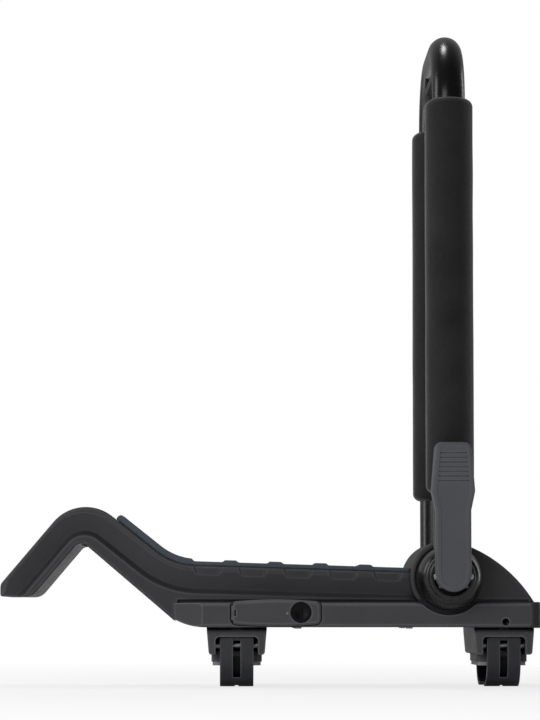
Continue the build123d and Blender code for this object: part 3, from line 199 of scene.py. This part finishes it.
# Floor: its colour, and the share of plain white from near the part to further off
FLOOR_SIZE = 16
FLOOR_GAP = 0.0002
FLOOR_GRAIN = 30.0
FLOOR_DARK = (236, 236, 236)
FLOOR_LIGHT = (242, 242, 242)
SHADOW_REACH = (0.35, 1.3)
WHITE_SEEN = (0.75, 1.0)
WHITE_MIRRORED = (0.0, 1.0)
WHITE = (1, 1, 1, 1)


def srgb(red, green, blue):
    """The linear colour of a screen colour given from 0 to 255."""
    def linear(value):
        share = value / 255
        if share <= 0.04045:
            return share / 12.92
        return ((share + 0.055) / 1.055) ** 2.4
    return (linear(red), linear(green), linear(blue), 1)


class Web:
    """A shader's node tree, with short calls to add a node and join its sockets."""

    def __init__(self, tree):
        self.tree = tree

    def add(self, kind, inputs=None, **settings):
        node = self.tree.nodes.new(kind)
        for key, value in settings.items():
            setattr(node, key, value)
        for key, value in (inputs or {}).items():
            if isinstance(value, bpy.types.NodeSocket):
                self.tree.links.new(value, node.inputs[key])
            else:
                node.inputs[key].default_value = value
        return node

    def place(self):
        return self.add("ShaderNodeTexCoord").outputs["Object"]

    def math(self, operation, first, second):
        return self.add("ShaderNodeMath", {0: first, 1: second}, operation=operation).outputs[0]

    def vector(self, operation, inputs, output):
        return self.add("ShaderNodeVectorMath", inputs, operation=operation).outputs[output]

    def remap(self, value, span, result):
        """A value moved from one span to another, and held between the new limits."""
        sockets = {
            "Value": value,
            "From Min": span[0],
            "From Max": span[1],
            "To Min": result[0],
            "To Max": result[1],
        }
        return self.add("ShaderNodeMapRange", sockets).outputs["Result"]

    def weigh(self, first, second, share):
        """The mean of two values, with a share for the first and the rest for the second."""
        return self.math("ADD", self.math("MULTIPLY", first, share), self.math("MULTIPLY", second, 1 - share))

    def mix(self, share, first, second):
        """A mix of two colours, which are the node's sockets 6 and 7 and its output 2."""
        return self.add("ShaderNodeMix", {0: share, 6: first, 7: second}, data_type="RGBA").outputs[2]

    def noise(self, place, scale, detail=3.0, roughness=0.55):
        sockets = {"Vector": place, "Scale": scale, "Detail": detail, "Roughness": roughness}
        return self.add("ShaderNodeTexNoise", sockets).outputs["Fac"]

    def shiny_ray(self, path):
        """1 for a ray that a mirror or glass sends on, else 0."""
        return self.math("MAXIMUM", path.outputs["Is Glossy Ray"], path.outputs["Is Transmission Ray"])


def start_material(name):
    """A new material, its node tree and its shader."""
    material = bpy.data.materials.new(name)
    material.use_nodes = True
    shader = material.node_tree.nodes["Principled BSDF"]
    return material, Web(material.node_tree), shader


def wire(web, shader, varying, constants):
    """Joins the shader's sockets that vary over the surface, and sets those that don't."""
    for socket, output in varying.items():
        web.tree.links.new(output, shader.inputs[socket])
    for socket, value in constants.items():
        shader.inputs[socket].default_value = value


def painted_edge_highlight(web, edge, opening, fine):
    """The share of painted highlight: highest where an outer edge turns, broken up by the grain."""
    wide = web.add("ShaderNodeBevel", {"Radius": edge.reach}, samples=EDGE_SAMPLES).outputs["Normal"]
    flat = web.add("ShaderNodeNewGeometry").outputs["Normal"]
    turn = web.vector("DOT_PRODUCT", {0: wide, 1: flat}, "Value")
    line = web.remap(turn, EDGE_TURN, (0.0, edge.share))
    outer = web.remap(opening, EDGE_OPEN, WHOLE)
    return web.math("MULTIPLY", web.math("MULTIPLY", line, outer), web.remap(fine, NOISE_SPAN, EDGE_BREAK))


def surface(name, dark, light, rough, grain, specular=0.5, metallic=0.0, sheen=0.0, patches=PATCHES,
            edge=None, stretch=None, painted_shade_left=PAINTED_SHADE_LEFT):
    """A solid finish: patchy colour, fine grain in roughness and bump, a painted highlight along outer edges
    and painted shade in creases and gaps.

    Colours go from 0 to 255, rough is the lowest and highest roughness, stretch scales the grain along X, Y
    and Z, and the last argument is what is left of the colour deep in a gap under painted shade.
    """
    material, web, shader = start_material(name)
    place = web.place()
    fine_place = place
    if stretch:
        fine_place = web.add("ShaderNodeMapping", {"Vector": place, "Scale": stretch}).outputs["Vector"]
    fine = web.noise(fine_place, grain.cells, GRAIN_DETAIL)
    patch = web.remap(web.noise(place, patches, PATCH_DETAIL), NOISE_SPAN, WHOLE)
    # Painted shade: the colour darkens where ambient occlusion finds a gap or crease close by
    gaps = web.add("ShaderNodeAmbientOcclusion", {"Distance": PAINTED_SHADE_REACH}, samples=PAINTED_SHADE_SAMPLES)
    opening = gaps.outputs["AO"]
    shade = web.remap(opening, PAINTED_SHADE_OPEN, (painted_shade_left, 1.0))
    colour = web.vector("SCALE", {0: web.mix(patch, srgb(*dark), srgb(*light)), "Scale": shade}, "Vector")
    relief = {"Height": fine, "Distance": grain.depth, "Strength": grain.strength}
    if edge:
        # Painted highlight: a lighter colour along outer edges
        colour = web.mix(painted_edge_highlight(web, edge, opening, fine), colour, srgb(*edge.colour))
        rounded = web.add("ShaderNodeBevel", {"Radius": edge.radius}, samples=ROUND_SAMPLES)
        relief["Normal"] = rounded.outputs["Normal"]
    blotch = web.noise(place, patches * BLOTCHES, GRAIN_DETAIL)
    varying = {
        "Base Color": colour,
        "Roughness": web.remap(web.weigh(fine, blotch, GRAIN_SHARE), NOISE_SPAN, rough),
        "Normal": web.add("ShaderNodeBump", relief).outputs["Normal"],
    }
    wire(web, shader, varying, {"Specular IOR Level": specular, "Metallic": metallic, "Sheen Weight": sheen})
    return material


def foam_finish():
    """Closed-cell foam: small pores, soft mottling and a light bloom at grazing angles."""
    material, web, shader = start_material("foam_finish")
    place = web.place()
    pores = web.add("ShaderNodeTexVoronoi", {"Vector": place, "Scale": FOAM_PORES}).outputs["Distance"]
    cloud = web.remap(web.noise(place, FOAM_CLOUDS, FOAM_CLOUD_DETAIL), NOISE_SPAN, WHOLE)
    speck = web.remap(web.noise(place, FOAM_SPECKS, GRAIN_DETAIL), FOAM_SPECK_SPAN, WHOLE)
    height = web.math("ADD", pores, web.math("MULTIPLY", speck, FOAM_SPECK_RISE))
    relief = {"Height": height, "Distance": FOAM_BUMP_DEPTH, "Strength": FOAM_BUMP_STRENGTH}
    varying = {
        "Base Color": web.mix(web.weigh(cloud, speck, FOAM_CLOUD_SHARE), srgb(*FOAM_DARK), srgb(*FOAM_LIGHT)),
        "Roughness": web.remap(speck, WHOLE, FOAM_ROUGH),
        "Normal": web.add("ShaderNodeBump", relief).outputs["Normal"],
    }
    wire(web, shader, varying, FOAM_SHINE)
    return material


def make_finishes():
    """One finish for each material slot of the record, and a few for single nodes."""
    # Where a finish sets how much colour is left deep in its gaps, that is painted shade; an Edge gives it a
    # painted highlight along outer edges
    return {
        "body": surface(
            "body_finish", dark=(44, 44, 46), light=(50, 50, 52), rough=(0.44, 0.6),
            grain=PLASTIC_GRAIN, specular=PLASTIC_SPECULAR, edge=HIGHLIGHT_EDGE, painted_shade_left=0.4),
        "rail": surface(
            "rail_finish", dark=(57, 57, 60), light=(63, 63, 66), rough=(0.46, 0.62),
            grain=PLASTIC_GRAIN, specular=PLASTIC_SPECULAR, edge=Edge(0.0013, (102, 102, 105), 0.6, 0.003)),
        "saddle": surface(
            "saddle_finish", dark=(64, 64, 66), light=(72, 72, 74), rough=(0.5, 0.66),
            grain=PLASTIC_GRAIN, specular=PLASTIC_SPECULAR, edge=HIGHLIGHT_EDGE),
        # Near black: the cam washer's own rubber, and the painted shade of the sheets inside the jaws
        "rubber": surface(
            "rubber_finish", dark=(6, 6, 7), light=(11, 11, 12), rough=(0.6, 0.75),
            grain=PLASTIC_GRAIN, specular=0.15),
        "black_steel": surface(
            "black_steel_finish", dark=(12, 12, 13), light=(18, 18, 19), rough=(0.4, 0.5),
            grain=Grain(900.0, 0.00006, 0.3), specular=0.3),
        "cap": surface(
            "cap_finish", dark=(28, 28, 29), light=(34, 34, 35), rough=(0.5, 0.64),
            grain=PLASTIC_GRAIN, specular=PLASTIC_SPECULAR, edge=Edge(0.0011, (70, 70, 73), 0.6, 0.003)),
        "lever": surface(
            "lever_finish", dark=(70, 71, 75), light=(76, 77, 81), rough=(0.44, 0.58),
            grain=Grain(1700.0, 0.0001, 0.3), specular=PLASTIC_SPECULAR,
            edge=Edge(0.001, (98, 99, 104), 0.6, 0.0015)),
        "hub": surface(
            "hub_finish", dark=(9, 9, 10), light=(13, 13, 14), rough=(0.24, 0.32),
            grain=Grain(1300.0, 0.00008, 0.25), specular=0.5, edge=Edge(0.0009, (56, 56, 58), 0.4, 0.002)),
        "pad": surface(
            "pad_finish", dark=(58, 65, 73), light=(66, 73, 81), rough=(0.62, 0.8),
            grain=Grain(900.0, 0.00025, 0.5), specular=0.3, sheen=0.1, painted_shade_left=0.7),
        "tube": surface(
            "tube_finish", dark=(12, 12, 13), light=(17, 17, 18), rough=(0.22, 0.3),
            grain=Grain(900.0, 0.00008, 0.3), specular=0.35),
        "jaw_steel": surface(
            "jaw_finish", dark=(37, 37, 41), light=(45, 46, 50), rough=(0.4, 0.54),
            grain=Grain(1100.0, 0.00008, 0.3), specular=0.35, edge=Edge(0.0007, (92, 93, 98), 0.7, 0.002)),
        "zinc_steel": surface(
            "zinc_finish", dark=(140, 140, 142), light=(166, 166, 169), rough=(0.28, 0.42),
            grain=Grain(700.0, 0.00005, 0.3), metallic=1.0, patches=60.0, stretch=(0.1, 1.0, 1.0),
            painted_shade_left=0.8),
        "seat_rubber": surface(
            "seat_rubber_finish", dark=(124, 123, 125), light=(138, 137, 140), rough=(0.62, 0.78),
            grain=Grain(1000.0, 0.0002, 0.4), specular=0.3, painted_shade_left=0.8),
        "lock_metal": surface(
            "lock_finish", dark=(5, 5, 6), light=(9, 9, 10), rough=(0.3, 0.38),
            grain=Grain(900.0, 0.00001, 0.1), specular=0.15, patches=40.0, painted_shade_left=0.3),
        "bearing_plastic": surface(
            "bearing_finish", dark=(146, 146, 143), light=(160, 160, 156), rough=(0.4, 0.55),
            grain=Grain(1200.0, 0.0001, 0.3), specular=PLASTIC_SPECULAR),
        "mark": surface(
            "mark_finish", dark=(104, 104, 107), light=(116, 116, 119), rough=(0.4, 0.5),
            grain=PLASTIC_GRAIN, specular=PLASTIC_SPECULAR),
        "foam": foam_finish(),
    }


def dress_nodes(finishes):
    """Gives each CAD node its own finish, or else that of its slot."""
    for name, node in nodes.items():
        for place in node.material_slots:
            place.material = finishes[OWN_FINISH.get(name, place.material.name)]


def add_piece(name, mesh, finish, body, finishes, smooth=True):
    """A piece that rides a body, in the finish of that name."""
    piece = bpy.data.objects.new(name, mesh)
    bpy.context.scene.collection.objects.link(piece)
    mesh.materials.clear()
    mesh.materials.append(finishes[finish])
    mesh.polygons.foreach_set("use_smooth", [smooth] * len(mesh.polygons))
    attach(piece, body)
    return piece


def to_mesh(name, built):
    """A mesh made from what bmesh built."""
    mesh = bpy.data.meshes.new(name)
    built.to_mesh(mesh)
    built.free()
    return mesh


def lathe(profile, segments, shape):
    """A closed ring of revolution. shape gives the place of a point from its radius, angle and height."""
    built = bmesh.new()
    rows = []
    for radius, height in profile:
        angles = [math.tau * index / segments for index in range(segments)]
        rows.append([built.verts.new(shape(radius, angle, height)) for angle in angles])
    for this, row in enumerate(rows):
        other = rows[(this + 1) % len(rows)]
        for index in range(segments):
            after = (index + 1) % segments
            built.faces.new((row[index], row[after], other[after], other[index]))
    bmesh.ops.recalc_face_normals(built, faces=built.faces)
    return built


def prism(outline, x):
    """A closed bar between two X limits, from a ring of (Y, Z) points."""
    built = bmesh.new()
    ends = [[built.verts.new((side, y, z)) for y, z in outline] for side in x]
    count = len(outline)
    built.faces.new(ends[0])
    built.faces.new(ends[1])
    for index in range(count):
        after = (index + 1) % count
        built.faces.new((ends[0][index], ends[0][after], ends[1][after], ends[1][index]))
    bmesh.ops.recalc_face_normals(built, faces=built.faces)
    return built


def quarter_turn(steps):
    """The angles of a quarter turn in even steps, both ends included."""
    return [math.pi / 2 * step / steps for step in range(steps + 1)]


def foam_profile(radius, bore, length):
    """Half section of a sleeve, from the bore's top round the outside to its foot."""
    corner = []
    for turn in quarter_turn(FOAM_ROUND_STEPS):
        corner.append((radius - FOAM_ROUND * (1 - math.sin(turn)), FOAM_ROUND * (1 - math.cos(turn))))
    top = [(reach, length - inset) for reach, inset in corner]
    straight = length - 2 * FOAM_ROUND
    rings = round(straight / FOAM_RING_STEP)
    side = [(radius, length - FOAM_ROUND - straight * ring / rings) for ring in range(1, rings)]
    foot = corner[::-1]
    return [(bore, length), *top, *side, *foot, (bore, 0)]


def add_foam_sleeve(node, finishes):
    """A soft sleeve on a leg, a little uneven as sliced foam is."""
    low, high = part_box(node)
    centre = (low + high) / 2
    tube_low, tube_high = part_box("arm_tube")
    radius = (high.x - low.x) / 2
    bore = (tube_high.x - tube_low.x) / 2 + SEAT_GAP

    def shape(ring, angle, height):
        point = Vector((math.cos(angle) * ring, math.sin(angle) * ring, height))
        seed = point / FOAM_DENT_SIZE + Vector((0, centre.y * FOAM_DENT_SHIFT, 0))
        dent = FOAM_DENT * (1 - noise.noise(seed)) if ring > bore else 0
        reach = (ring - dent) / ring
        return (centre.x + point.x * reach, centre.y + point.y * reach, low.z + height)

    built = lathe(foam_profile(radius, bore, high.z - low.z), FOAM_SEGMENTS, shape)
    piece = add_piece(node.replace("foam", "foam_sleeve"), to_mesh(node, built), "foam", "arm", finishes)
    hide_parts(node)


def add_hull_pad(finishes):
    """The ribbed pad with the soft edges of a moulded elastomer."""
    source = bpy.data.objects.new("pad_source", nodes["hull_pad"].data.copy())
    bpy.context.scene.collection.objects.link(source)
    remesh = source.modifiers.new("remesh", "REMESH")
    remesh.mode = "VOXEL"
    remesh.voxel_size = PAD_VOXEL
    soften = source.modifiers.new("soften", "SMOOTH")
    soften.iterations = PAD_SMOOTHING
    graph = bpy.context.evaluated_depsgraph_get()
    mesh = bpy.data.meshes.new_from_object(source.evaluated_get(graph))
    bpy.data.objects.remove(source)
    piece = add_piece("ribbed_pad", mesh, "pad", "base", finishes)
    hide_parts("hull_pad")


def add_jaw_shade_sheet(side, place, finishes):
    """A near-black sheet along the inside of a jaw's bend, put there as painted shade."""
    low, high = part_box(f"{side}_jaw_{place}")
    outward = -1 if place == "near" else 1
    edge = low.y if place == "near" else high.y
    centre_y = edge - outward * JAW_BEND
    centre_z = low.z + JAW_BEND
    outer = JAW_BEND - JAW_STEEL - SEAT_GAP
    inner = outer - SHADE_SHEET_THICKNESS

    def point(radius, turn):
        return (centre_y + outward * radius * math.cos(turn), centre_z - radius * math.sin(turn))

    def top(radius):
        return (centre_y + outward * radius, centre_z + SHADE_SHEET_RISE)

    turns = quarter_turn(SHADE_SHEET_STEPS)
    outside = [point(outer, turn) for turn in turns]
    inside = [point(inner, turn) for turn in turns[::-1]]
    outline = [top(outer), *outside, *inside, top(inner)]
    built = prism(outline, (low.x + SHADE_SHEET_MARGIN, high.x - SHADE_SHEET_MARGIN))
    name = f"{side}_{place}_shade_sheet"
    body = f"{side}_{place}_jaw"
    # The sheet's near-black finish is painted shade
    add_piece(name, to_mesh(name, built), "rubber", body, finishes, smooth=False)


def lock_bar(centre, front):
    """The bar to turn the lock by, across the plug's face."""
    half_width = LOCK_BAR_WIDTH / 2
    half_length = LOCK_BAR_LENGTH / 2
    foot, top = centre.z - half_length, centre.z + half_length
    depth = front + LOCK_FACE
    outline = [(front, foot), (front, top), (depth, top), (depth, foot)]
    bar = prism(outline, (centre.x - half_width, centre.x + half_width))
    bmesh.ops.bevel(bar, geom=bar.edges[:], offset=LOCK_BAR_EDGE, segments=2, affect="EDGES")
    return bar


def add_lock_plug(finishes):
    """The lock's round plug with a dished face and a bar to turn it by."""
    low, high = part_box("lock_plug")
    centre = (low + high) / 2
    radius = (high.x - low.x) / 2
    pinhole = radius * LOCK_PINHOLE
    front, back = low.y, high.y
    profile = [
        (pinhole, front + LOCK_DISH),
        (radius - 2 * LOCK_RIM, front + LOCK_STEP),
        (radius - LOCK_RIM, front + LOCK_STEP),
        (radius - LOCK_RIM, front),
        (radius, front),
        (radius, front + LOCK_FACE),
        (LOCK_SHANK, front + LOCK_FACE),
        (LOCK_SHANK, back),
        (pinhole, back),
    ]

    def shape(ring, angle, height):
        return (centre.x + ring * math.cos(angle), height, centre.z + ring * math.sin(angle))

    built = lathe(profile, LOCK_SEGMENTS, shape)
    built.from_mesh(to_mesh("lock_bar", lock_bar(centre, front)))
    mesh = to_mesh("lock_face", built)
    piece = add_piece("lock_face", mesh, "lock_metal", "lock", finishes, smooth=False)
    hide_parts("lock_plug")


def add_cover_mark(finishes):
    """A small raised dot that shows where the lock's bar points."""
    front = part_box("lock_cover")[0].y
    pinhole = MARK_RADIUS * MARK_PINHOLE
    profile = [
        (pinhole, front - MARK_RISE),
        (MARK_RADIUS * MARK_TOP, front - MARK_RISE),
        (MARK_RADIUS, front),
        (MARK_RADIUS, front + MARK_RISE),
        (pinhole, front + MARK_RISE),
    ]

    def shape(ring, angle, height):
        return (MARK_AT[0] + ring * math.cos(angle), height, MARK_AT[1] + ring * math.sin(angle))

    built = lathe(profile, MARK_SEGMENTS, shape)
    add_piece("cover_mark", to_mesh("cover_mark", built), "mark", "cover", finishes)


def add_camera():
    """The camera at the photograph's viewing angle, shifted to its framing."""
    data = bpy.data.cameras.new("camera")
    data.sensor_width = SENSOR_MM
    data.lens = SENSOR_MM * FOCAL_PIXELS / PHOTO_HEIGHT
    data.shift_y = (AXIS_ROW - PHOTO_HEIGHT / 2) / PHOTO_HEIGHT
    camera = bpy.data.objects.new("camera", data)
    camera.location = CAMERA_AT
    camera.rotation_euler = (math.pi / 2 + CAMERA_TILT, 0, -CAMERA_PAN)
    bpy.context.scene.collection.objects.link(camera)
    bpy.context.scene.camera = camera


def add_softbox(box):
    """A rectangular lamp."""
    data = bpy.data.lights.new(box.name, "AREA")
    data.shape = "RECTANGLE"
    data.size, data.size_y = box.size
    data.energy = box.power
    lamp = bpy.data.objects.new(box.name, data)
    lamp.location = box.place
    aim = Vector(box.aim) - Vector(box.place)
    lamp.rotation_euler = aim.to_track_quat("-Z", "Y").to_euler()
    lamp.visible_glossy = box.mirrored
    bpy.context.scene.collection.objects.link(lamp)


def add_world():
    """A pale studio: white to the eye, softer as a light, dimmer on the camera's side in reflections."""
    world = bpy.data.worlds.new("studio")
    bpy.context.scene.world = world
    world.use_nodes = True
    web = Web(world.node_tree)
    direction = web.add("ShaderNodeTexCoord").outputs["Generated"]
    axes = web.add("ShaderNodeSeparateXYZ", {"Vector": direction}).outputs
    behind = web.remap(axes["Y"], WALL_DEPTH, WALL_MIRRORED)
    overhead = web.remap(axes["Z"], WALL_HEIGHT, WALL_LIGHT)
    path = web.add("ShaderNodeLightPath")
    shiny = web.shiny_ray(path)
    mirrored = web.math("MULTIPLY", shiny, behind)
    lit = web.math("MULTIPLY", web.math("SUBTRACT", 1.0, shiny), overhead)
    level = web.math("MAXIMUM", path.outputs["Is Camera Ray"], web.math("ADD", mirrored, lit))
    wire(web, world.node_tree.nodes["Background"], {"Strength": level}, {"Color": WHITE})


def floor_finish():
    """Pale paint that turns to plain white away from the part, for the eye and for reflections."""
    material = bpy.data.materials.new("floor_finish")
    material.use_nodes = True
    web = Web(material.node_tree)
    web.tree.nodes.remove(web.tree.nodes["Principled BSDF"])
    place = web.place()
    away = web.vector("LENGTH", {0: place}, "Value")
    colour = web.mix(web.noise(place, FLOOR_GRAIN), srgb(*FLOOR_DARK), srgb(*FLOOR_LIGHT))
    painted = web.add("ShaderNodeBsdfDiffuse", {"Color": colour}).outputs[0]
    white = web.add("ShaderNodeEmission", {"Color": WHITE, "Strength": 1.0}).outputs[0]
    path = web.add("ShaderNodeLightPath")
    seen = web.math("MULTIPLY", path.outputs["Is Camera Ray"], web.remap(away, SHADOW_REACH, WHITE_SEEN))
    mirrored = web.math("MULTIPLY", web.shiny_ray(path), web.remap(away, SHADOW_REACH, WHITE_MIRRORED))
    share = web.math("MAXIMUM", seen, mirrored)
    blend = web.add("ShaderNodeMixShader", {0: share, 1: painted, 2: white}).outputs[0]
    wire(web, web.tree.nodes["Material Output"], {"Surface": blend}, {})
    return material


def add_floor():
    """A pale floor that shows a soft shadow near the feet and is white further off."""
    low, high = cad_box
    middle = (low + high) / 2
    half = FLOOR_SIZE / 2
    built = bmesh.new()
    corners = [(-half, -half), (half, -half), (half, half), (-half, half)]
    built.faces.new([built.verts.new((x, y, 0)) for x, y in corners])
    floor = bpy.data.objects.new("floor", to_mesh("floor", built))
    floor.location = (middle.x, middle.y, low.z - FLOOR_GAP)
    floor.data.materials.append(floor_finish())
    bpy.context.scene.collection.objects.link(floor)


finishes = make_finishes()
dress_nodes(finishes)
for sleeve in ("foam_near", "foam_far"):
    add_foam_sleeve(sleeve, finishes)
add_hull_pad(finishes)
for foot in ("left", "right"):
    for jaw_place in ("near", "far"):
        add_jaw_shade_sheet(foot, jaw_place, finishes)
add_lock_plug(finishes)
add_cover_mark(finishes)
add_camera()
for softbox in SOFTBOXES:
    add_softbox(softbox)
add_world()
add_floor()
bpy.context.scene.view_settings.view_transform = "Standard"
